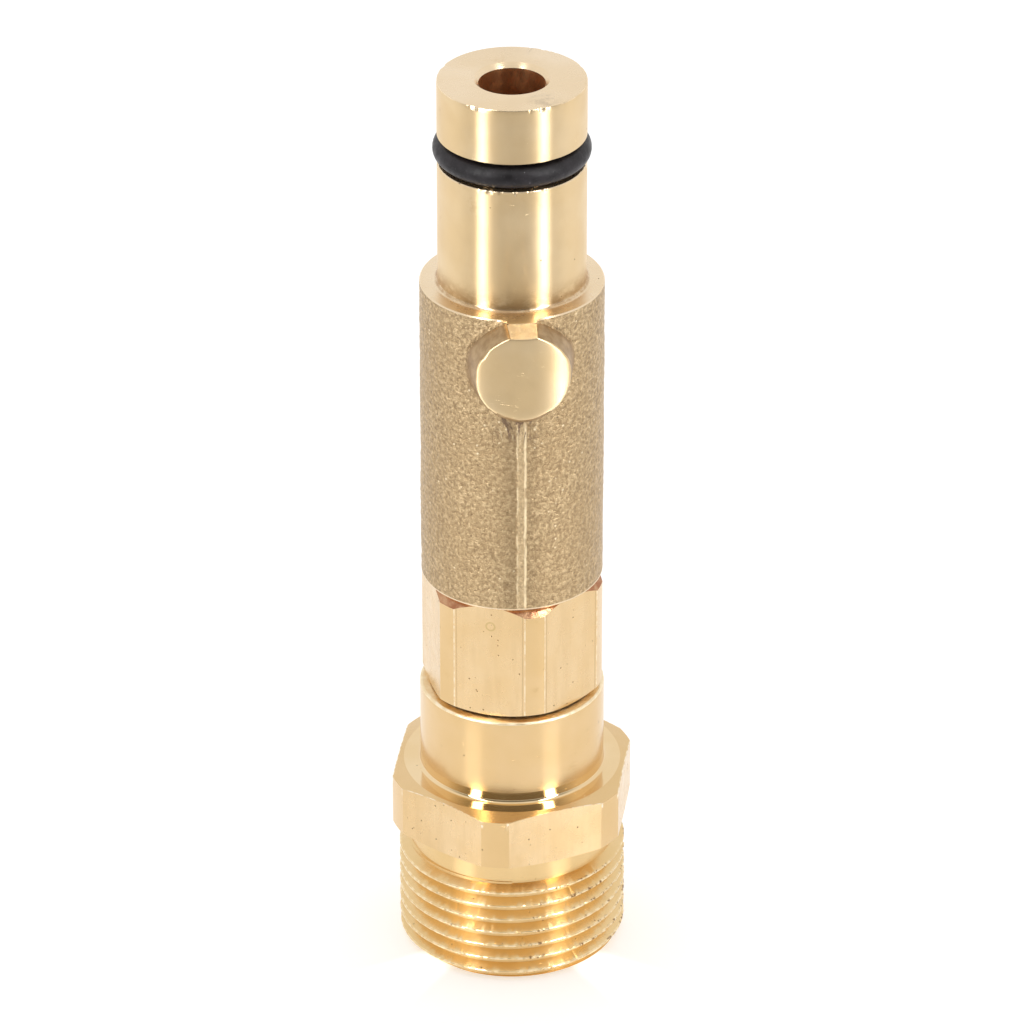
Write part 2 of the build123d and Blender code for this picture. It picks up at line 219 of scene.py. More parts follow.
def lathe(name, outline, angles=np.arange(360) * math.pi / 180):
    """A closed solid turned about Z from (radius, height) points in order round its section."""
    segments = len(angles)
    points, rings = [], []
    for radius, height in outline:
        first = len(points)
        if radius == 0:
            points.append((0, 0, height))
            rings.append([first] * segments)
        else:
            points += [(radius * math.cos(a), radius * math.sin(a), height) for a in angles]
            rings.append(list(range(first, first + segments)))
    faces = []
    for here, above in zip(rings, rings[1:] + rings[:1]):
        for i in range(segments):
            j = (i + 1) % segments
            face = list(dict.fromkeys([here[i], here[j], above[j], above[i]]))
            if len(face) > 2:
                faces.append(face)
    return mesh_object(name, points, faces)


def hexagon(name, across_flats, bottom, top, angle):
    """A hexagonal bar with a corner at the given angle from the front."""
    radius = across_flats / math.sqrt(3)
    corners = [FRONT + angle + math.radians(60 * number) for number in range(6)]
    points = [(radius * math.cos(a), radius * math.sin(a), z) for z in (bottom, top) for a in corners]
    sides = [[i, (i + 1) % 6, (i + 1) % 6 + 6, i + 6] for i in range(6)]
    return mesh_object(name, points, [list(range(6)), list(range(6, 12))] + sides)


def on_flats(centres, reach, angle):
    """Whether each face centre lies on one of a hexagon's six flats."""
    turned = [FRONT + angle + math.radians(60 * number + 30) for number in range(6)]
    across = np.max([centres[:, 0] * math.cos(a) + centres[:, 1] * math.sin(a) for a in turned], axis=0)
    return np.abs(across - reach) < 0.02


def combine(operation, base, other):
    """Join two closed solids, cut one by the other or keep what they share. The second is used up."""
    step = base.modifiers.new("combine", "BOOLEAN")
    step.operation = operation
    step.solver = "MANIFOLD"
    step.object = other
    graph = bpy.context.evaluated_depsgraph_get()
    mesh = bpy.data.meshes.new_from_object(base.evaluated_get(graph))
    base.modifiers.clear()
    base.data = mesh
    bpy.data.objects.remove(other)
    return base


def vertex_points(piece):
    """The mesh's points as an array of rows."""
    points = np.zeros(len(piece.data.vertices) * 3)
    piece.data.vertices.foreach_get("co", points)
    return points.reshape(-1, 3)


def face_centres(piece):
    """The centre of each face as an array of rows."""
    centres = np.zeros(len(piece.data.polygons) * 3)
    piece.data.polygons.foreach_get("center", centres)
    return centres.reshape(-1, 3)


def move_points(piece, points):
    piece.data.vertices.foreach_set("co", points.ravel())
    piece.data.update()


def finished(piece, sharp_angle=28):
    """The piece in metres, shaded smooth except across sharp edges."""
    move_points(piece, vertex_points(piece) * MM)
    piece.data.shade_smooth()
    piece.data.set_sharp_from_angle(angle=math.radians(sharp_angle))
    return piece


def arc(centre, radius, start, end, steps):
    """(radius, height) points on an arc of a turned outline; angles in degrees."""
    angles = np.radians(np.linspace(start, end, steps + 1))
    return [(centre[0] + radius * math.cos(a), centre[1] + radius * math.sin(a)) for a in angles]


# ---------------------------------------------------------------- valve body

def body_outline():
    """Section of the body: cast barrel, turned shoulder and spigot, and the bores inside.

    The edge rows keep the nicks in the rim and in the groove's lip from running down the wall.
    """
    barrel = [(BODY_R, z) for z in np.linspace(TURNED_LAND, SHOULDER - SHOULDER_CHAMFER, 216)]
    root_centre = (SPIGOT_R + SPIGOT_ROOT_FILLET, SHOULDER + SPIGOT_ROOT_FILLET)
    groove_r, groove_bottom, groove_top = RING_GROOVE
    outside = [
        (BODY_R - BODY_CHAMFER, BODY_BOTTOM),
        (BODY_R, BODY_BOTTOM + BODY_CHAMFER),
        *barrel,
        (BODY_R - SHOULDER_CHAMFER, SHOULDER),
        *arc(root_centre, SPIGOT_ROOT_FILLET, 270, 180, 8),
        *[(SPIGOT_R, groove_bottom - depth) for depth in EDGE_ROWS_BELOW_GROOVE],
        (SPIGOT_R, groove_bottom - RING_GROOVE_EDGE),
        (SPIGOT_R - RING_GROOVE_EDGE, groove_bottom),
        (groove_r, groove_bottom),
        (groove_r, groove_top),
        (SPIGOT_R - RING_GROOVE_EDGE, groove_top),
        (SPIGOT_R, groove_top + RING_GROOVE_EDGE),
        *[(SPIGOT_R, BODY_TOP - depth) for depth in EDGE_ROWS_BELOW_RIM],
        *arc((SPIGOT_R - SPIGOT_RIM_ROUND, BODY_TOP - SPIGOT_RIM_ROUND), SPIGOT_RIM_ROUND, 0, 90, 4),
    ]
    edge_width, edge_depth = OUTLET_EDGE
    adjuster_bottom, adjuster_top = ADJUSTER_BORE
    inside = [
        (OUTLET_R + OUTLET_CHAMFER + edge_width, BODY_TOP),
        (OUTLET_R + OUTLET_CHAMFER, BODY_TOP - edge_depth),
        (OUTLET_R, BODY_TOP - edge_depth - OUTLET_CHAMFER),
        (OUTLET_R, OUTLET_DEPTH),
        (OUTLET_CONE_R, adjuster_top),
        (ADJUSTER_BORE_R, adjuster_top),
        (ADJUSTER_BORE_R, adjuster_bottom),
        (SPRING_CHAMBER_R, adjuster_bottom - 0.1),
        (SPRING_CHAMBER_R, SEAT_SHOULDER),
        (BODY_THREAD_R, SEAT_SHOULDER),
        (BODY_THREAD_R, COUNTERBORE_TOP),
        (COUNTERBORE_R, COUNTERBORE_TOP),
        (COUNTERBORE_R, BODY_BOTTOM),
    ]
    return outside + inside


def barrel_relief(points):
    """How far the cast barrel stands in or out of its true cylinder."""
    side = np.sign(points[:, 1])
    along = BODY_R * np.arcsin(np.clip(points[:, 0] / BODY_R, -1, 1))
    height = points[:, 2]
    to_lug = np.hypot(along, height - LUG_Z)
    sand = 0.030 * rough(points, 0.50, 1) + 0.018 * rough(points, 0.27, 2)
    waves = 0.035 * rough(points, 4.5, 3)

    wander = 0.03 * rough(np.column_stack([side, side, height]), (9, 9, 2.5), 4)
    below_lug = ramp(LUG_Z - height, 3.5, 5.5)
    seam = np.zeros(len(points))
    for edge, rise in ((-SEAM_HALF_WIDTH, LEFT_SEAM_RISE), (SEAM_HALF_WIDTH, RIGHT_SEAM_RISE)):
        uneven = 1 + 0.45 * rough(np.column_stack([side * edge * 9, side, height]), (1, 9, 1.1), 5)
        seam += rise * uneven * np.exp(-((along - edge - wander) / 0.11) ** 2)
    seam += 0.05 * (1 - ramp(np.abs(along - wander), 0.3, 0.5))

    fold_zone = np.exp(-((along + 0.3) / 2.1) ** 2) * ramp(height, LUG_Z - 10.5, LUG_Z - 5.4)
    fold_zone *= 1 - ramp(height, LUG_Z - 4.6, LUG_Z - 3.9)
    folds = 0.24 * fold_zone * rough(points, (0.42, 2.0, 2.2), 6)

    fillet = np.clip(LUG_ROOT_R + LUG_ROOT_FILLET - to_lug, 0, LUG_ROOT_FILLET)
    root = LUG_ROOT_FILLET - np.sqrt(LUG_ROOT_FILLET ** 2 - fillet ** 2)
    edges = ramp(height, TURNED_LAND, BODY_BOTTOM + 0.5) * ramp(SHOULDER - SHOULDER_CHAMFER - height, 0, 0.3)
    return edges * (sand + waves + folds + seam * below_lug) + root


def lug(side):
    """Round drafted lug: face concentric with the body, rounded edge, sloping wall."""
    draft = (LUG_ROOT_R - LUG_FACE_R) / (LUG_REACH - BODY_R)
    steps = 180
    points, rings = [(0, side * LUG_REACH, LUG_Z)], []
    angles = np.arange(steps) * 2 * math.pi / steps
    circle = np.column_stack([np.cos(angles), np.sin(angles), np.zeros(steps)])
    uneven = 0.05 * rough(circle * 4, 1.3, 11) + 0.02 * rough(circle * 4, 0.35, 12)

    def ring(radius, reach):
        """One ring of points at a distance from the lug's axis and from the body's axis."""
        x = radius * np.cos(angles)
        trimmed = LUG_Z + radius * np.minimum(np.sin(angles), LUG_TRIM)
        z = np.minimum(trimmed, SHOULDER - 0.01)
        first = len(points)
        points.extend(zip(x, side * np.broadcast_to(reach, steps), z))
        rings.append(list(range(first, first + steps)))

    round_r = LUG_FACE_R + uneven - 0.23 * np.cos(angles) ** 2
    edge_r = round_r
    for _ in range(4):
        edge_reach = np.sqrt(LUG_REACH ** 2 - (edge_r * np.cos(angles)) ** 2)
        edge_r = round_r + draft * (LUG_REACH - edge_reach)
    nick = np.exp(-((np.degrees(angles) - 147) / 7) ** 2)
    softness = LUG_FILLET * (0.7 + 2.4 * ramp(-np.sin(angles), 0.6, 0.95) + 0.9 * nick)
    face_r = edge_r - softness
    for share in np.linspace(0.1, 1, 14):
        radius = share * face_r
        ring(radius, np.sqrt(LUG_REACH ** 2 - (radius * np.cos(angles)) ** 2))
    face_reach = np.sqrt(LUG_REACH ** 2 - (face_r * np.cos(angles)) ** 2)
    wall_reach = edge_reach - softness
    wall_r = edge_r + draft * softness
    for t in (0.25, 0.5, 0.75, 1):
        radius = (1 - t) ** 2 * face_r + 2 * t * (1 - t) * edge_r + t * t * wall_r
        reach = (1 - t) ** 2 * face_reach + 2 * t * (1 - t) * edge_reach + t * t * wall_reach
        ring(radius, reach)
    for share in np.linspace(0.1, 1, 12):
        reach = wall_reach + share * (LUG_INNER_REACH - wall_reach)
        wave = 0.03 * rough(np.column_stack([circle[:, 0] * 4, circle[:, 1] * 4, reach]), 0.7, 13)
        ring(wall_r + draft * (wall_reach - reach) + wave, reach)
    points.append((0, side * LUG_INNER_REACH, LUG_Z))

    faces = [[0, rings[0][i], rings[0][(i + 1) % steps]] for i in range(steps)]
    for outer, inner in zip(rings, rings[1:]):
        faces += [[outer[i], outer[(i + 1) % steps], inner[(i + 1) % steps], inner[i]] for i in range(steps)]
    last = len(points) - 1
    faces += [[rings[-1][i], rings[-1][(i + 1) % steps], last] for i in range(steps)]
    return mesh_object("lug", points, faces)


def barrel_angles():
    """Angles of the body's vertices, closer together along the two seams."""
    dense = np.arange(-0.31, 0.31, 0.0065)
    angles = np.arange(400) * math.pi / 200
    for seam_angle in (math.pi / 2, math.pi * 3 / 2):
        angles = np.concatenate([angles[np.abs(angles - seam_angle) > 0.315], seam_angle + dense])
    return np.sort(angles)


def cast_body():
    """The body's casting and its turned surfaces, as one closed mesh with a slot for each finish."""
    body = lathe("cast_valve_body", body_outline(), barrel_angles())
    points = vertex_points(body)
    radius = np.hypot(points[:, 0], points[:, 1])
    on_barrel = np.abs(radius - BODY_R) < 0.01
    push = np.where(on_barrel, barrel_relief(points), 0)
    rim = (points[:, 2] > BODY_TOP - 0.2) & (radius > SPIGOT_R - 0.2)
    around = points * (1, 1, 0)
    nicks = ramp(rough(around, 0.5, 41), 0.2, 0.7) * ramp(rough(around, 3.5, 42), -0.2, 0.3)
    push -= np.where(rim, 0.02 + 0.02 * rough(around, 1.5, 43) + 0.11 * nicks, 0)
    groove_lip = (np.abs(points[:, 2] - RING_GROOVE[1]) < 0.1) & (radius > SPIGOT_R - 0.1)
    push -= np.where(groove_lip, 0.06 * ramp(rough(around, 0.4, 44), 0.2, 0.6), 0)
    points[:, :2] *= (1 + push / radius)[:, None]
    move_points(body, points)
    for side in (-1, 1):
        combine("UNION", body, lug(side))

    centres = face_centres(body)
    radius = np.hypot(centres[:, 0], centres[:, 1])
    height = centres[:, 2]
    cast = (height < SHOULDER - SHOULDER_CHAMFER - 0.01) & (height > TURNED_LAND) & (radius > BODY_R - 0.3)
    wall = cast & (radius > BODY_R + 0.4)
    lug_face = cast & (radius > LUG_REACH - 0.07)
    lug_top = wall & (height > LUG_Z + 4) & (np.abs(centres[:, 0]) < 1.28)
    bore = (radius < OUTLET_R + 0.02) & (height > SHOULDER)
    spigot = (np.abs(radius - SPIGOT_R) < 0.03) & (height > SHOULDER + 0.3)
    finish = np.select([lug_face, lug_top, bore, spigot, wall, cast], [4, 5, 3, 4, 2, 0], 1)
    body.data.polygons.foreach_set("material_index", finish.astype(np.int32))
    return finished(body)


# ---------------------------------------------------------------- inlet union

def helical_rod():
    """A right-handed thread's ridge and groove, longer at both ends than the union's.

    The lowest crest has its stated height on the side that faces the camera.
    """
    section = [
        (-0.70, THREAD_ROOT_R),
        (-0.60, THREAD_ROOT_R),
        (-0.11, THREAD_R - 0.05),
        (-0.06, THREAD_R),
        (0.06, THREAD_R),
        (0.11, THREAD_R - 0.05),
        (0.60, THREAD_ROOT_R),
    ]
    per_turn, turns = 480, 9
    count = per_turn * turns
    angle = np.arange(count + 1) * 2 * math.pi / per_turn
    base = LOWEST_CREST - 2 * THREAD_PITCH + THREAD_PITCH * angle / (2 * math.pi)
    turned = FRONT + math.radians(CAMERA_AZIMUTH) + angle
    rows = np.zeros((count + 1, len(section), 3))
    for column, (offset, radius) in enumerate(section):
        rows[:, column] = np.column_stack([radius * np.cos(turned), radius * np.sin(turned), base + offset])
        if radius > THREAD_R - 0.1:
            place = rows[:, column]
            knocked = ramp(rough(place, 4.0, 22) + 0.05 * place[:, 0], -0.1, 0.5)
            dents = ramp(rough(place, (0.45, 0.45, 0.9), 21), 0.45, 0.7) * knocked
            fine = 0.05 * rough(place, 0.35, 23)
            worn = radius - 0.14 * dents - np.abs(fine)
            rows[:, column, 0] = worn * np.cos(turned)
            rows[:, column, 1] = worn * np.sin(turned)
    width = len(section)
    points = list(rows.reshape(-1, 3))
    faces = []
    for i in range(count):
        here, there = i * width, (i + 1) * width
        faces += [[here + j, there + j, there + j + 1, here + j + 1] for j in range(width - 1)]
        if i + per_turn < count:
            above, beyond = (i + per_turn) * width, (i + per_turn + 1) * width
            faces.append([here + width - 1, there + width - 1, beyond, above])
    low, high = len(points), len(points) + 1
    points += [(0, 0, base[0] - 3), (0, 0, base[-1] + 3)]
    first_turn = [i * width for i in range(per_turn + 1)] + [j for j in range(width - 1, 0, -1)]
    start = count - per_turn
    last_turn = [i * width + width - 1 for i in range(start, count + 1)]
    last_turn += [count * width + j for j in range(width - 2, -1, -1)]
    for loop, tip in ((first_turn, low), (last_turn, high)):
        faces += [[a, b, tip] for a, b in zip(loop, loop[1:] + loop[:1])]
    return mesh_object("helical_rod", points, faces)


def union_collar_outline():
    """Outline of the neck and the collar, with the root fillet and the broken top edge."""
    fillet_centre = (COLLAR_R + COLLAR_ROOT_FILLET, HEX_TOP + COLLAR_ROOT_FILLET)
    return [
        (0, LAST_CREST - 2),
        (THREAD_ROOT_R - 0.4, LAST_CREST - 2),
        (THREAD_ROOT_R - 0.4, LAST_CREST),
        (NECK_R, LAST_CREST + 0.5),
        (NECK_R, NECK_TOP + 0.5),
        (COLLAR_R + COLLAR_ROOT_FILLET, NECK_TOP + 0.5),
        *arc(fillet_centre, COLLAR_ROOT_FILLET, 270, 180, 12),
        *[(COLLAR_R, z) for z in np.linspace(HEX_TOP + 1.1, UNION_TOP - COLLAR_EDGE - 0.3, 8)],
        *arc((COLLAR_R - COLLAR_EDGE, UNION_TOP - COLLAR_EDGE), COLLAR_EDGE, 0, 90, 9),
        (0, UNION_TOP),
    ]


def union_bore_outline():
    """Hose socket, retaining ring's chamber and swivel bore."""
    return [
        (0, UNION_BOTTOM - 1),
        (SOCKET_R + SOCKET_CHAMFER + 1, UNION_BOTTOM - 1),
        (SOCKET_R + SOCKET_CHAMFER, UNION_BOTTOM),
        (SOCKET_R, UNION_BOTTOM + SOCKET_CHAMFER),
        (SOCKET_R, SOCKET_TOP),
        (RETAINER_CHAMBER_R, SOCKET_TOP),
        (RETAINER_CHAMBER_R, RETAINER_CHAMBER_TOP),
        (SWIVEL_BORE_R + SWIVEL_LEAD_IN, RETAINER_CHAMBER_TOP),
        (SWIVEL_BORE_R, RETAINER_CHAMBER_TOP + SWIVEL_LEAD_IN),
        (SWIVEL_BORE_R, UNION_TOP - SWIVEL_MOUTH),
        (SWIVEL_BORE_R + SWIVEL_MOUTH, UNION_TOP),
        (SWIVEL_BORE_R + SWIVEL_MOUTH + 0.1, UNION_TOP + 1),
        (0, UNION_TOP + 1),
    ]


def threaded_union():
    """The swivel inlet union with its true helical thread."""
    runout = LAST_CREST + 0.25 + (THREAD_R - NECK_R) * math.tan(math.radians(30))
    envelope = lathe("envelope", [
        (0, UNION_BOTTOM),
        (THREAD_R - END_CHAMFER, UNION_BOTTOM),
        (THREAD_R, UNION_BOTTOM + END_CHAMFER),
        (THREAD_R, LAST_CREST + 0.25),
        (NECK_R, runout),
        (0, runout),
    ])
    piece = combine("INTERSECT", helical_rod(), envelope)
    piece.name = "threaded_inlet_union"

    drop = (HEX_CORNER_R - HEX_CHAMFER_R) * math.tan(math.radians(15))
    faced = lathe("faced", [
        (0, NECK_TOP),
        (HEX_CHAMFER_R, NECK_TOP),
        (HEX_CORNER_R, NECK_TOP + drop),
        (HEX_CORNER_R, HEX_TOP - drop),
        (HEX_CHAMFER_R, HEX_TOP),
        (0, HEX_TOP),
    ])
    nut = combine("INTERSECT", hexagon("nut", HEX_FLATS, NECK_TOP, HEX_TOP, HEX_ANGLE), faced)
    collar = lathe("collar", union_collar_outline())
    points = vertex_points(collar)
    from_axis = np.hypot(points[:, 0], points[:, 1])
    at_edge = ramp(points[:, 2], UNION_TOP - 0.5, UNION_TOP - 0.2) * ramp(from_axis, 8, 8.5)
    worn = at_edge * (0.012 * rough(points, 0.5, 31) + 0.010 * rough(points, 1.6, 32) - 0.01)
    points[:, :2] *= (1 + worn / COLLAR_R)[:, None]
    move_points(collar, points)
    combine("UNION", piece, nut)
    combine("UNION", piece, collar)
    combine("DIFFERENCE", piece, lathe("bore", union_bore_outline()))
    centres = face_centres(piece)
    height = centres[:, 2]
    flat = on_flats(centres, HEX_FLATS / 2, HEX_ANGLE) & (height > NECK_TOP) & (height < HEX_TOP)
    thread = height < NECK_TOP
    root = (height > POLISHED_ROOT[0]) & (height < POLISHED_ROOT[1])
    rim = height > UNION_TOP - COLLAR_EDGE
    finish = np.select([flat, thread, root, rim], [1, 2, 3, 4], 0)
    piece.data.polygons.foreach_set("material_index", finish.astype(np.int32))
    return finished(piece, 12.5)


# ---------------------------------------------------------------- relief spring

def spring_part(name, from_share, to_share):
    """Part of the spring's coil; the end turns are ground flat."""
    rings, sides = 220, 24
    share = np.linspace(from_share, to_share, rings)
    angle = share * SPRING_TURNS * 2 * math.pi
    height = SPRING_BOTTOM + share * (SPRING_TOP - SPRING_BOTTOM)
    around = np.arange(sides) * 2 * math.pi / sides
    points, faces = [], []
    for a, z in zip(angle, height):
        for b in around:
            radius = SPRING_MEAN_R + SPRING_WIRE_R * math.cos(b)
            level = z + SPRING_WIRE_R * math.sin(b)
            level = min(max(level, SPRING_BOTTOM), SPRING_TOP)
            points.append((radius * math.cos(a), radius * math.sin(a), level))
    for i in range(rings - 1):
        for j in range(sides):
            k = (j + 1) % sides
            faces.append([i * sides + j, i * sides + k, (i + 1) * sides + k, (i + 1) * sides + j])
    faces.append(list(range(sides)))
    faces.append(list(range((rings - 1) * sides, rings * sides)))
    return finished(mesh_object(name, points, faces), 40)


# ---------------------------------------------------------------- materials

class Nodes:
    """Short calls that add shader nodes to a material or to the world."""

    def __init__(self, tree):
        self.tree = tree

    def node(self, kind, **settings):
        made = self.tree.nodes.new(kind)
        for key, value in settings.items():
            setattr(made, key, value)
        return made

    def link(self, source, target):
        """Join a socket to a socket, or set the target to a plain value."""
        if isinstance(source, bpy.types.NodeSocket):
            self.tree.links.new(source, target)
        else:
            target.default_value = source

    def fed(self, made, *values):
        """The node, with its first inputs linked or set in order."""
        for value, socket in zip(values, made.inputs):
            self.link(value, socket)
        return made

    def math(self, operation, *values):
        return self.fed(self.node("ShaderNodeMath", operation=operation), *values).outputs[0]

    def product(self, *values):
        """Several values multiplied together."""
        total = values[0]
        for value in values[1:]:
            total = self.math("MULTIPLY", total, value)
        return total

    def vector(self, operation, *values):
        made = self.fed(self.node("ShaderNodeVectorMath", operation=operation), *values)
        return made.outputs["Value" if operation in ("DISTANCE", "DOT_PRODUCT") else "Vector"]

    def parts(self, vector):
        """The three parts of a vector."""
        return self.fed(self.node("ShaderNodeSeparateXYZ"), vector).outputs

    def combine(self, x, y, z):
        return self.fed(self.node("ShaderNodeCombineXYZ"), x, y, z).outputs[0]

    def span(self, value, low, high, out_low=0.0, out_high=1.0):
        """The value carried from one range to another, smooth and held at the ends."""
        made = self.node("ShaderNodeMapRange", interpolation_type="SMOOTHSTEP")
        return self.fed(made, value, low, high, out_low, out_high).outputs[0]


class Finish(Nodes):
    """A procedural material. Places in it are millimetres in the valve's own frame."""

    def __init__(self, name):
        self.material = bpy.data.materials.new(name)
        self.material.use_nodes = True
        super().__init__(self.material.node_tree)
        self.shader = self.tree.nodes["Principled BSDF"]
        place = self.node("ShaderNodeTexCoord").outputs["Object"]
        self.place = self.vector("MULTIPLY", place, (1 / MM, 1 / MM, 1 / MM))
        self.x, self.y, self.z = self.parts(self.place)
        across = self.math("ADD", self.product(self.x, self.x), self.product(self.y, self.y))
        self.radius = self.math("SQRT", across)

    def stretched(self, x, y, z):
        """The place, scaled along each axis."""
        return self.vector("MULTIPLY", self.place, (x, y, z))

    def noise(self, scale, detail=3, roughness=0.5, vector=None):
        made = self.node("ShaderNodeTexNoise")
        self.link(vector or self.place, made.inputs["Vector"])
        made.inputs["Scale"].default_value = scale
        made.inputs["Detail"].default_value = detail
        made.inputs["Roughness"].default_value = roughness
        return made.outputs["Fac"]

    def cells(self, scale):
        """Distance to the nearest random point, and that point's own random value."""
        made = self.node("ShaderNodeTexVoronoi")
        self.link(self.place, made.inputs["Vector"])
        made.inputs["Scale"].default_value = scale
        value = self.fed(self.node("ShaderNodeSeparateColor"), made.outputs["Color"])
        return made.outputs["Distance"], value.outputs[0]

    def mix(self, share, first, second):
        """A colour between two colours."""
        made = self.node("ShaderNodeMix", data_type="RGBA")
        colours = [s for s in made.inputs if s.type == "RGBA"]
        self.link(share, made.inputs["Factor"])
        self.link(first, colours[0])
        self.link(second, colours[1])
        return made.outputs["Result"]

    def patchy(self, scale, first, second):
        """Two colours in soft patches."""
        return self.mix(self.span(self.noise(scale, 4), 0.35, 0.7), first, second)

    def specks(self, scale, size, share):
        """1 inside small round pores, kept at a share of the random points."""
        distance, chance = self.cells(scale)
        spot = self.span(distance, size * 0.6, size, 1.0, 0.0)
        return self.product(spot, self.math("GREATER_THAN", chance, 1 - share))

    def turned_lines(self, scale):
        """Fine rings as a lathe leaves them, on cylinders and on end faces."""
        path = self.combine(self.radius, self.z, self.product(self.x, 0.01))
        return self.noise(scale, 4, 0.6, path)

    def off(self, value, middle):
        """How far a value is from a middle value, either way."""
        return self.math("ABSOLUTE", self.math("SUBTRACT", value, middle))

    def bump(self, height, depth, before=None):
        """Surface relief whose height goes from 0 to 1 over a depth in millimetres."""
        made = self.node("ShaderNodeBump")
        made.inputs["Strength"].default_value = 1.0
        made.inputs["Distance"].default_value = depth * MM
        self.link(height, made.inputs["Height"])
        if before is not None:
            self.link(before, made.inputs["Normal"])
        return made.outputs[0]

    def brush_round(self, amount):
        """Gloss spread along the axis, as rings from a lathe tool spread it."""
        tangent = self.node("ShaderNodeTangent", direction_type="RADIAL", axis="Z")
        self.link(tangent.outputs[0], self.shader.inputs["Tangent"])
        self.shader.inputs["Anisotropic"].default_value = amount
        self.shader.inputs["Anisotropic Rotation"].default_value = 0.25

    def finish(self, colour, roughness, normal=None, metallic=1.0, **settings):
        self.link(colour, self.shader.inputs["Base Color"])
        self.link(roughness, self.shader.inputs["Roughness"])
        self.shader.inputs["Metallic"].default_value = metallic
        if normal is not None:
            self.link(normal, self.shader.inputs["Normal"])
        for key, value in settings.items():
            self.shader.inputs[key.replace("_", " ")].default_value = value
        return self.material


PALE_BRASS = ((0.815, 0.603, 0.335, 1), (0.855, 0.658, 0.400, 1))
SATIN_BRASS = ((0.825, 0.650, 0.430, 1), (0.865, 0.700, 0.495, 1))
FLAT_BRASS = ((0.765, 0.545, 0.290, 1), (0.800, 0.590, 0.340, 1))
THREAD_BRASS = ((0.775, 0.548, 0.262, 1), (0.815, 0.592, 0.305, 1))
GOLD_BRASS = ((0.740, 0.515, 0.255, 1), (0.775, 0.555, 0.300, 1))
BRASS_TARNISH = (0.620, 0.400, 0.170, 1)
BRASS_DARK = (0.180, 0.090, 0.035, 1)
SMUDGE = (2.4, -4.9, BODY_TOP)


def brass_colour(f, patch_scale, pore_share, tones):
    """Brass with pale and tarnished patches and a few dark pores."""
    colour = f.patchy(patch_scale, *tones)
    patches = f.span(f.noise(patch_scale * 2.7, 5, 0.65), 0.62, 0.78)
    colour = f.mix(f.product(patches, 0.35), colour, BRASS_TARNISH)
    pores = f.specks(1.5, 0.13, pore_share)
    return f.mix(pores, colour, BRASS_DARK), pores


def thread_crest_light_and_soil(f, colour):
    """A painted highlight on the inlet thread's crests, broken by noise, and soil caught on them."""
    on_thread = f.span(f.z, NECK_TOP - 1.5, NECK_TOP - 1, 1.0, 0.0)
    crest = f.product(f.span(f.radius, THREAD_R - 0.22, THREAD_R - 0.08), on_thread)
    # Painted highlight: a near-white colour on the crests, in broken patches.
    crest_highlight = f.product(crest, f.span(f.noise(1.9, 3, 0.6), 0.40, 0.62, 0.10, 0.8))
    colour = f.mix(crest_highlight, colour, (0.97, 0.82, 0.55, 1))
    soiled = f.span(f.math("ADD", f.noise(0.22, 2), f.product(f.x, 0.016)), 0.50, 0.66)
    spots = f.span(f.noise(2.1, 3, 0.65, f.stretched(1, 1, 0.5)), 0.54, 0.61)
    return f.mix(f.product(spots, crest, soiled, 0.9), colour, (0.22, 0.095, 0.025, 1))


def hexagon_edge_highlight(f, colour):
    """A painted highlight, broken by noise, on the line where the union's flats meet its turned upper face.
    """
    edge = f.span(hexagon_reach(f, HEX_ANGLE), HEX_FLATS / 2 - 0.13, HEX_FLATS / 2 - 0.05)
    above = f.span(f.z, HEX_TOP - 1.2, HEX_TOP - 0.9)
    below = f.span(f.z, HEX_TOP + 0.1, HEX_TOP + 0.4, 1.0, 0.0)
    highlight_breaks = f.span(f.noise(2.2, 3, 0.6), 0.40, 0.58, 0.1, 0.9)
    # Painted highlight: a near-white line along the edge.
    return f.mix(f.product(edge, above, below, highlight_breaks), colour, (1.0, 0.90, 0.72, 1))


def spigot_smudge_and_root_shade(f, colour):
    """A smudge on the outlet's end face, and painted shade round the spigot's root, darkest at the root and
    broken into blotches.
    """
    smudge = f.span(f.vector("DISTANCE", f.place, SMUDGE), 0.8, 1.9, 1.0, 0.0)
    smudge = f.product(smudge, f.span(f.noise(1.1, 6, 0.75), 0.40, 0.68), 0.42)
    colour = f.mix(smudge, colour, (0.36, 0.29, 0.21, 1))
    # Painted shade: brown darkening that fades up the spigot from its root.
    root_shade = f.span(f.z, SHOULDER + 0.2, SHOULDER + 2.6, 0.75, 0.0)
    above_shoulder = f.span(f.z, SHOULDER, SHOULDER + 0.1)
    blotches = f.span(f.noise(0.8, 5, 0.65, f.stretched(1, 1, 1.6)), 0.32, 0.6, 0.25, 1.0)
    return f.mix(f.product(root_shade, above_shoulder, blotches), colour, (0.45, 0.27, 0.12, 1))


def turned_brass(name, tones, roughness, spread, rings, pore_share):
    """Brass from the lathe: rings that spread the gloss along the axis, and a few handling scratches."""
    f = Finish(name)
    colour, pores = brass_colour(f, 0.16, pore_share, tones)
    # Each adds marks: a painted highlight on the thread's crests with soil, a painted highlight on the
    # hexagon's top edge, a smudge and painted shade at the spigot's root.
    for marks_and_light in (thread_crest_light_and_soil, hexagon_edge_highlight, spigot_smudge_and_root_shade):
        colour = marks_and_light(f, colour)
    handled = f.span(f.noise(0.35, 2), 0.57, 0.63)
    scratch = f.product(f.span(f.noise(2.2, 2, 0.5, f.stretched(0.35, 0.35, 6)), 0.68, 0.72), handled)
    relief = f.bump(f.turned_lines(9), rings)
    relief = f.bump(f.math("MAXIMUM", scratch, pores), -0.012, relief)
    gloss = f.span(f.noise(0.5, 4), 0.3, 0.7, roughness * 0.93, roughness * 1.07)
    f.brush_round(spread)
    return f.finish(colour, gloss, relief)


def bore_brass():
    """The drilled outlet bore, browned by water."""
    f = Finish("bore_brass")
    patches = f.span(f.noise(0.7, 4), 0.35, 0.7)
    colour = f.mix(patches, (0.86, 0.52, 0.27, 1), (0.66, 0.34, 0.15, 1))
    relief = f.bump(f.turned_lines(4), 0.010)
    return f.finish(colour, f.span(patches, 0, 1, 0.30, 0.42), relief)


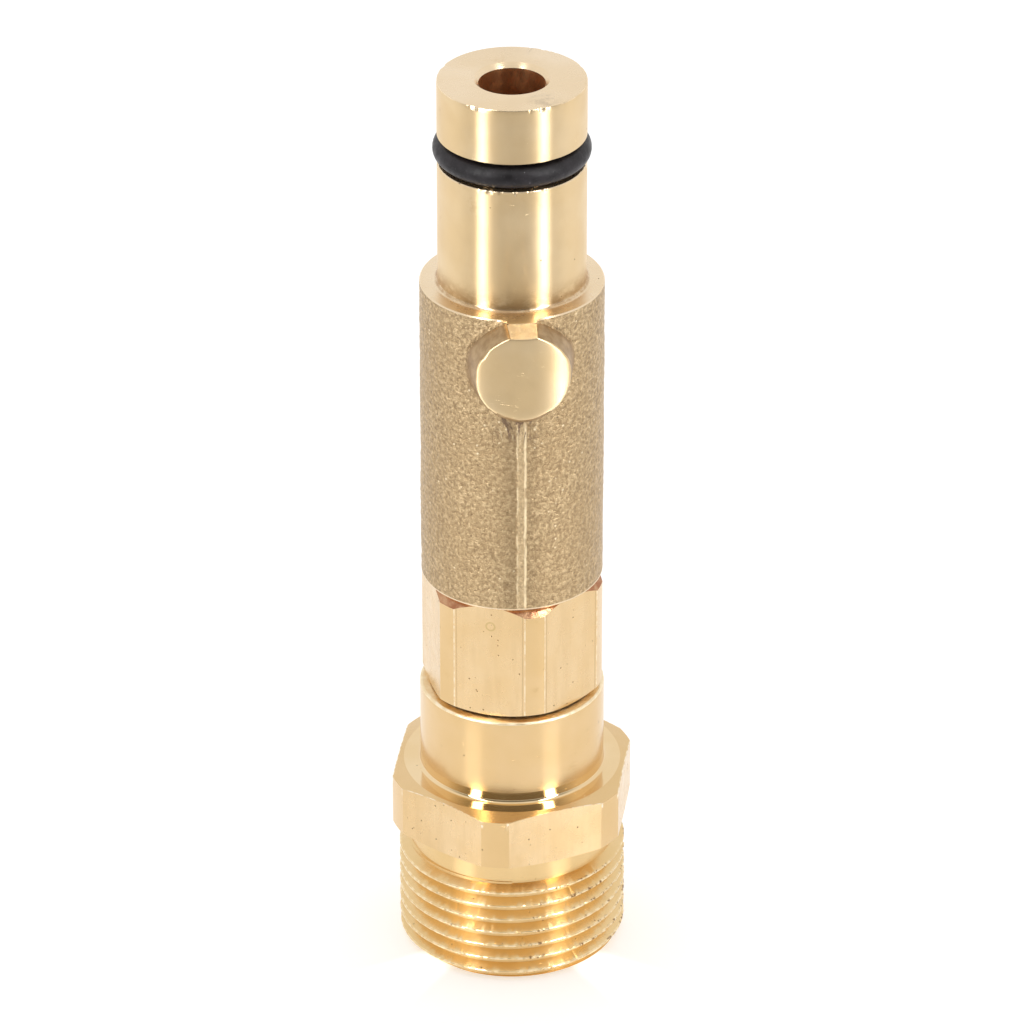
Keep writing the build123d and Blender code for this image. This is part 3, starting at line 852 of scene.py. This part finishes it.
def chamfer_shade_brass():
    """The nipple's chamfer close under the body, in painted shade: the body's dark underside reflected in it,
    in soft patches.
    """
    f = Finish("chamfer_shade_brass")
    patches = f.span(f.noise(1.4, 4), 0.35, 0.7)
    # Painted shade: two dark browns for the body's underside mirrored in the chamfer.
    colour = f.mix(patches, (0.42, 0.18, 0.09, 1), (0.58, 0.34, 0.19, 1))
    relief = f.bump(f.noise(2.6, 4), 0.02)
    return f.finish(colour, f.span(patches, 0, 1, 0.16, 0.26), relief)


def hexagon_reach(f, angle):
    """Distance from the axis measured square to the nearest of a hexagon's flats."""
    reach = 0.0
    for number in range(3):
        turned = FRONT + angle + math.radians(60 * number + 30)
        across = f.vector("DOT_PRODUCT", f.place, (math.cos(turned), math.sin(turned), 0))
        reach = f.math("MAXIMUM", reach, f.math("ABSOLUTE", across))
    return reach


def nipple_edge_light_and_stain(f, colour):
    """Painted highlights on the corners, broken by noise, with a painted shade line beside them, and a faint
    ring-shaped stain.
    """
    on_nipple = f.span(f.z, NIPPLE_HEX_TOP - NIPPLE_HEX_HEIGHT - 1, NIPPLE_HEX_TOP - NIPPLE_HEX_HEIGHT)
    # Painted shade: a dark line just inside each corner.
    beside = f.span(f.off(f.radius, NIPPLE_CORNER_R - 0.11), 0.01, 0.04, 0.4, 0.0)
    colour = f.mix(f.product(beside, on_nipple), colour, (0.45, 0.30, 0.15, 1))
    # Painted highlight: a pale line along each corner, broken by noise.
    highlight_breaks = f.span(f.noise(1.6, 3, 0.6, f.stretched(0.4, 0.4, 1)), 0.38, 0.62, 0.1, 0.8)
    corner = f.span(f.radius, NIPPLE_CORNER_R - 0.06, NIPPLE_CORNER_R - 0.03)
    colour = f.mix(f.product(corner, highlight_breaks, on_nipple), colour, (0.95, 0.82, 0.60, 1))
    ring = f.span(f.off(f.vector("DISTANCE", f.place, MARK), MARK_R), 0.05, 0.12, 0.45, 0.0)
    return f.mix(ring, colour, (0.50, 0.36, 0.13, 1))


def wrought_brass():
    """Brass of the hexagons' flats: drawn bar with a satin skin, pores and small dents."""
    f = Finish("wrought_brass")
    colour, pores = brass_colour(f, 0.22, 0.30, FLAT_BRASS)
    relief = f.bump(f.noise(5, 4, 0.6, f.stretched(1, 1, 0.05)), 0.006)
    relief = f.bump(f.noise(6, 5, 0.6), 0.006, relief)
    relief = f.bump(pores, -0.03, relief)
    streaks = f.span(f.noise(1.1, 4, 0.6, f.stretched(1, 1, 0.12)), 0.42, 0.66, 0.0, 0.22)
    colour = nipple_edge_light_and_stain(f, f.mix(streaks, colour, (0.62, 0.43, 0.22, 1)))
    roughness = f.span(f.noise(0.8, 4), 0.3, 0.7, 0.20, 0.30)
    return f.finish(colour, roughness, relief)


def blasted_colour(f, grain, fine):
    """Colour lighter on the grain's peaks and darker in its pits, broad stains, painted glints as pale flecks
    and scattered bright grains, and scattered sooty grains.
    """
    colour = f.mix(f.span(grain, 0.50, 0.66), (0.470, 0.335, 0.185, 1), (0.68, 0.51, 0.300, 1))
    pits = f.span(grain, 0.36, 0.50, 1.0, 0.0)
    colour = f.mix(f.product(pits, 0.7), colour, (0.27, 0.18, 0.095, 1))
    # Painted glints: pale flecks on the fine grain's peaks.
    colour = f.mix(f.span(fine, 0.58, 0.74, 0.0, 0.7), colour, (0.82, 0.64, 0.40, 1))
    broad = f.span(f.noise(0.12, 2), 0.35, 0.65)
    colour = f.mix(f.product(broad, 0.25), colour, (0.45, 0.31, 0.165, 1))
    nearest, chance = f.cells(1.5)
    spot = f.span(nearest, 0.10, 0.22, 1.0, 0.0)
    # Painted glints: scattered bright grains.
    painted_glints = f.product(spot, f.math("GREATER_THAN", chance, 0.86), 0.75)
    sooty = f.product(spot, f.math("LESS_THAN", chance, 0.16), 0.6)
    colour = f.mix(painted_glints, colour, (0.95, 0.80, 0.55, 1))
    return f.mix(sooty, colour, (0.17, 0.11, 0.06, 1))


def seam_colour(f, colour):
    """The parting seam below each lug: two ridges with painted highlights, a pale strip between them and
    painted shadow beside them.

    Also gives back where the ridges are, because the casting's grain is calmer there.
    """
    below_lug = f.span(f.z, LUG_Z - 6.6, LUG_Z - 5.2, 1.0, 0.0)
    wander = f.math("SUBTRACT", f.noise(0.55, 3, 0.6, f.stretched(0, 0, 1)), 0.5)
    aside = f.math("ADD", f.x, f.product(wander, 0.35))
    ragged = f.product(f.math("SUBTRACT", f.noise(2.4, 2), 0.5), 0.10)
    uneven = f.math("ADD", aside, ragged)
    come_and_go = f.noise(0.55, 3, 0.6, f.stretched(0.3, 0.3, 1))
    # Painted highlights: bright colour along the two ridges, which come and go.
    right_ridge = f.span(f.off(uneven, SEAM_HALF_WIDTH), 0.05, 0.17, 1.0, 0.0)
    right_ridge = f.product(right_ridge, f.span(come_and_go, 0.34, 0.52, 0.25, 0.95))
    left_ridge = f.span(f.off(uneven, -SEAM_HALF_WIDTH), 0.03, 0.12, 1.0, 0.0)
    left_ridge = f.product(left_ridge, f.span(come_and_go, 0.46, 0.60, 0.55, 0.05))
    ridge = f.product(f.math("MAXIMUM", right_ridge, left_ridge), below_lug)
    strip = f.product(f.span(f.math("ABSOLUTE", aside), 0.30, 0.42, 0.30, 0.0), below_lug)
    # Painted shadow: dark bands beside the seam, the left one wider.
    left_seam_shadow = f.product(f.span(aside, -2.3, -0.55), f.span(aside, -0.50, -0.40, 1.0, 0.0))
    right_seam_shadow = f.product(f.span(aside, 0.45, 0.55), f.span(aside, 0.6, 1.5, 0.6, 0.0))
    seam_shadow = f.product(f.math("MAXIMUM", left_seam_shadow, right_seam_shadow), 0.38, below_lug)
    colour = f.mix(seam_shadow, colour, (0.24, 0.165, 0.085, 1))
    colour = f.mix(strip, colour, (0.74, 0.58, 0.36, 1))
    return f.mix(ridge, colour, (0.92, 0.76, 0.50, 1)), ridge


def fold_light_and_shade(f, colour):
    """Wrinkles that fan out under the lug, drawn as painted shade in their creases and painted highlights on
    their crests.
    """
    fan = f.product(f.math("ADD", f.x, 0.2), f.span(f.z, LUG_Z - 8, LUG_Z - 4.4, 1.5, 0.8))
    streaks = f.noise(2.0, 3, 0.6, f.combine(fan, 0.0, f.product(f.z, 0.22)))
    zone = f.span(f.math("ABSOLUTE", f.math("ADD", f.x, 0.4)), 1.1, 2.4, 1.0, 0.0)
    above = f.span(f.z, LUG_Z - 8.2, LUG_Z - 6.8)
    below = f.span(f.z, LUG_Z - 4.2, LUG_Z - 3.8, 1.0, 0.0)
    zone = f.product(zone, above, below)
    # Painted shade in the creases and painted highlights on the crests.
    crease_shade = f.product(f.span(streaks, 0.50, 0.60), zone, 0.85)
    crest = f.product(f.span(streaks, 0.34, 0.44, 1.0, 0.0), zone, 0.65)
    colour = f.mix(crease_shade, colour, (0.17, 0.11, 0.075, 1))
    return f.mix(crest, colour, (0.90, 0.75, 0.50, 1))


def cast_brass():
    """Shot-blasted casting: dull brass with burnished grains, dark pits and the marks of its mould."""
    f = Finish("cast_brass")
    grain = f.noise(3.1, 3, 0.62)
    fine = f.noise(6.5, 2, 0.6)
    colour, ridge = seam_colour(f, blasted_colour(f, grain, fine))
    colour = fold_light_and_shade(f, colour)
    calm = f.math("SUBTRACT", 1.0, f.product(ridge, 0.8))
    relief = f.bump(f.product(grain, calm), 0.13)
    relief = f.bump(f.product(fine, calm), 0.04, relief)
    return f.finish(colour, f.span(fine, 0.3, 0.7, 0.34, 0.5), relief)


def dull_brass(name, dark, light, smooth, dull):
    """The lug's drafted wall, the flat on its top, and the collar's knocked edge."""
    f = Finish(name)
    colour = f.patchy(1.2, dark, light)
    relief = f.bump(f.noise(3, 4, 0.6), 0.03)
    roughness = f.span(f.noise(2, 3), 0.3, 0.7, smooth, dull)
    return f.finish(colour, roughness, relief)


def rubber():
    """Black nitrile with a faint bloom and dust specks."""
    f = Finish("seal_rubber")
    colour = f.patchy(0.7, (0.014, 0.011, 0.013, 1), (0.034, 0.028, 0.033, 1))
    lint = f.span(f.noise(5, 4, 0.7), 0.56, 0.74, 0.0, 0.5)
    colour = f.mix(lint, colour, (0.09, 0.08, 0.09, 1))
    dust = f.specks(2.2, 0.13, 0.07)
    colour = f.mix(dust, colour, (0.30, 0.28, 0.30, 1))
    relief = f.bump(f.noise(6, 4, 0.6), 0.02)
    roughness = f.span(f.noise(1.6, 3), 0.3, 0.7, 0.34, 0.50)
    return f.finish(colour, roughness, relief, metallic=0.0, Specular_IOR_Level=0.28)


def plain_finish(name, dark, light, roughness, metallic, grain, depth, round_brush=0.0):
    """A machined, drawn or moulded surface with fine grain and slight colour drift."""
    f = Finish(name)
    drift = f.span(f.noise(0.6, 4), 0.3, 0.7)
    colour = f.mix(drift, dark, light)
    relief = f.bump(f.turned_lines(grain), depth)
    spread = f.span(f.noise(1.3, 3), 0.3, 0.7, roughness * 0.8, roughness * 1.25)
    if round_brush:
        f.brush_round(round_brush)
    return f.finish(colour, spread, relief, metallic=metallic)


# ---------------------------------------------------------------- studio

def towards(azimuth):
    """Level unit vector from the valve; azimuth 0 is the studio's dark side and it grows to the right."""
    turn = math.radians(CAMERA_AZIMUTH + azimuth)
    return Vector((math.sin(turn), -math.cos(turn), 0))


def studio_floor():
    """A wide white sheet under the valve that glows, brighter close to it, with painted pools of light in
    front of each softbox.
    """
    bpy.ops.mesh.primitive_plane_add(size=12, location=(0, 0, 0))
    floor = bpy.context.object
    floor.name = "studio_floor"
    f = Finish("floor_paper")
    shade = f.mix(f.noise(0.02, 2), (0.80, 0.80, 0.80, 1), (0.82, 0.82, 0.82, 1))
    glow = f.span(f.vector("DOT_PRODUCT", f.place, towards(0)), 30, 300, 0.44, 0.0)
    # Painted pools of light: glowing bands where each softbox would light the floor.
    for azimuth in (-BRIGHT_FLOOR_AZIMUTH, BRIGHT_FLOOR_AZIMUTH):
        along = f.vector("DOT_PRODUCT", f.place, towards(azimuth))
        aim = f.math("DIVIDE", along, f.radius)
        light_pool = f.product(f.span(aim, 0.972, 0.999), f.span(along, 46, 64, 0.35, 0.0))
        glow = f.math("ADD", glow, light_pool)
    f.link(glow, f.shader.inputs["Emission Strength"])
    floor.data.materials.append(f.finish(shade, 0.9, metallic=0.0, Emission_Color=(1, 1, 1, 1)))


def strip_light(name, azimuth):
    """A tall softbox that faces the valve."""
    data = bpy.data.lights.new(name, "AREA")
    data.shape = "RECTANGLE"
    data.size = STRIP_WIDTH
    data.size_y = STRIP_TOP - STRIP_BOTTOM
    data.energy = STRIP_RADIANCE * math.pi * data.size * data.size_y
    lamp = bpy.data.objects.new(name, data)
    bpy.context.scene.collection.objects.link(lamp)
    away = towards(azimuth)
    lamp.location = away * STRIP_DISTANCE + Vector((0, 0, (STRIP_BOTTOM + STRIP_TOP) / 2))
    lamp.rotation_euler = away.to_track_quat("Z", "Y").to_euler()
    lamp.visible_camera = False
    lamp.visible_diffuse = False


def studio_world():
    """White room behind, beside and above the valve, dark in front of it up to about 50 degrees."""
    world = bpy.data.worlds.new("studio")
    bpy.context.scene.world = world
    world.use_nodes = True
    background = world.node_tree.nodes["Background"]
    n = Nodes(world.node_tree)
    direction = n.node("ShaderNodeTexCoord").outputs["Generated"]
    facing = n.vector("DOT_PRODUCT", direction, towards(0))
    height = n.parts(direction)[2]
    dark = n.product(n.span(facing, -0.1, 0.7), n.span(height, 0.60, 0.84, 0.78, 0.10))
    n.link(n.math("SUBTRACT", 1.0, dark), background.inputs["Strength"])
    background.inputs["Color"].default_value = (1, 0.995, 0.985, 1)


def camera():
    """The photograph's view: from above, a little to the left of the front lug."""
    data = bpy.data.cameras.new("camera")
    data.lens = CAMERA_LENS
    data.sensor_width = CAMERA_SENSOR
    data.clip_start = 0.01
    viewer = bpy.data.objects.new("camera", data)
    bpy.context.scene.collection.objects.link(viewer)
    viewer.location = towards(0) * CAMERA_DISTANCE + Vector((0, 0, CAMERA_HEIGHT))
    viewer.rotation_euler = (math.radians(90 - CAMERA_TILT), 0, math.radians(CAMERA_AZIMUTH))
    bpy.context.scene.camera = viewer


# ---------------------------------------------------------------- finishes

def dress(piece, *materials):
    """Give a piece its materials, in slot order."""
    slots = piece.data.materials
    for number, material in enumerate(materials):
        if number < len(slots):
            slots[number] = material
        else:
            slots.append(material)


SPIGOT = turned_brass("ringed_brass", PALE_BRASS, 0.33, 1.0, 0.004, 0.02)
TURNED = turned_brass("turned_brass", SATIN_BRASS, 0.27, 0.7, 0.0015, 0.04)
GOLDEN = turned_brass("golden_brass", GOLD_BRASS, 0.22, 0.7, 0.0015, 0.06)
THREAD = turned_brass("thread_brass", THREAD_BRASS, 0.22, 0.85, 0.002, 0.06)
POLISHED = turned_brass("polished_brass", PALE_BRASS, 0.09, 0.3, 0.0007, 0.04)
CHAMFER_SHADE = chamfer_shade_brass()
BORE = bore_brass()
WROUGHT = wrought_brass()
CAST = cast_brass()
# Painted shade: the lug's drafted wall is a darker copy of the cast brass.
SHADED_LUG_WALL = dull_brass("shaded_lug_wall_brass", (0.36, 0.235, 0.12, 1), (0.48, 0.335, 0.185, 1), 0.28, 0.40)
LUG_FLAT = dull_brass("lug_flat_brass", (0.88, 0.70, 0.455, 1), (0.93, 0.78, 0.535, 1), 0.42, 0.54)
WORN = dull_brass("worn_brass", (0.84, 0.67, 0.42, 1), (0.93, 0.80, 0.58, 1), 0.30, 0.46)
RUBBER = rubber()
STAINLESS = plain_finish("stainless", (0.50, 0.49, 0.47, 1), (0.62, 0.61, 0.59, 1), 0.22, 1.0, 8, 0.004, 0.6)
BALL_STEEL = plain_finish("ball_steel", (0.60, 0.59, 0.57, 1), (0.66, 0.65, 0.63, 1), 0.08, 1.0, 14, 0.001)
SPRING_STEEL = plain_finish("spring_steel", (0.30, 0.29, 0.28, 1), (0.44, 0.43, 0.41, 1), 0.30, 1.0, 7, 0.006)
PTFE = plain_finish("ptfe", (0.80, 0.79, 0.76, 1), (0.86, 0.85, 0.83, 1), 0.45, 0.0, 6, 0.008)
NYLON = plain_finish("nylon", (0.07, 0.16, 0.42, 1), (0.10, 0.22, 0.52, 1), 0.38, 0.0, 6, 0.008)


# ---------------------------------------------------------------- the valve

body = cast_body()
dress(body, CAST, TURNED, SHADED_LUG_WALL, BORE, SPIGOT, LUG_FLAT)
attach(body, "valve_body")
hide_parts("valve_body")

union = threaded_union()
dress(union, GOLDEN, WROUGHT, THREAD, POLISHED, WORN)
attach(union, "inlet_union")
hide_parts("inlet_union")

lower_coils = spring_part("spring_lower_coils", 0, 0.5)
upper_coils = spring_part("spring_upper_coils", 0.5, 1)
for coils in (lower_coils, upper_coils):
    dress(coils, SPRING_STEEL)
    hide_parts("relief_spring")
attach(lower_coils, "valve_body")
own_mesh(lower_coils)
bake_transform(upper_coils)

finishes = {
    "spigot_o_ring": RUBBER,
    "nipple_seal_ring": RUBBER,
    "seat_seal_ring": RUBBER,
    "swivel_dust_ring": RUBBER,
    "swivel_pressure_ring": RUBBER,
    "swivel_backup_ring": PTFE,
    "adjuster_friction_ring": NYLON,
    "adjusting_screw": TURNED,
    "spring_top_washer": STAINLESS,
    "valve_seat": STAINLESS,
    "ball_carrier": STAINLESS,
    "swivel_thrust_washer": STAINLESS,
    "valve_ball": BALL_STEEL,
    "swivel_retaining_ring": SPRING_STEEL,
}
for node, material in finishes.items():
    dress(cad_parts[node], material)

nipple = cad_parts["hex_nipple"]
dress(nipple, GOLDEN, WROUGHT, CHAMFER_SHADE)
centres = face_centres(nipple) / MM
flat = on_flats(centres, NIPPLE_FLATS / 2, NIPPLE_ANGLE)
outside = np.hypot(centres[:, 0], centres[:, 1]) > 8.0
tilt = np.array([abs(face.normal.z) for face in nipple.data.polygons])
# The upper chamfer gets the painted shade of the body's underside.
chamfer = outside & (centres[:, 2] > NIPPLE_HEX_TOP - 1) & (tilt > 0.2) & (tilt < 0.9)
finish = np.select([chamfer, flat], [2, 1], 0)
nipple.data.polygons.foreach_set("material_index", finish.astype(np.int32))

studio_floor()
studio_world()
for name, azimuth in STRIP_AZIMUTHS.items():
    strip_light(name, azimuth)
camera()
bpy.context.scene.view_settings.view_transform = "Standard"
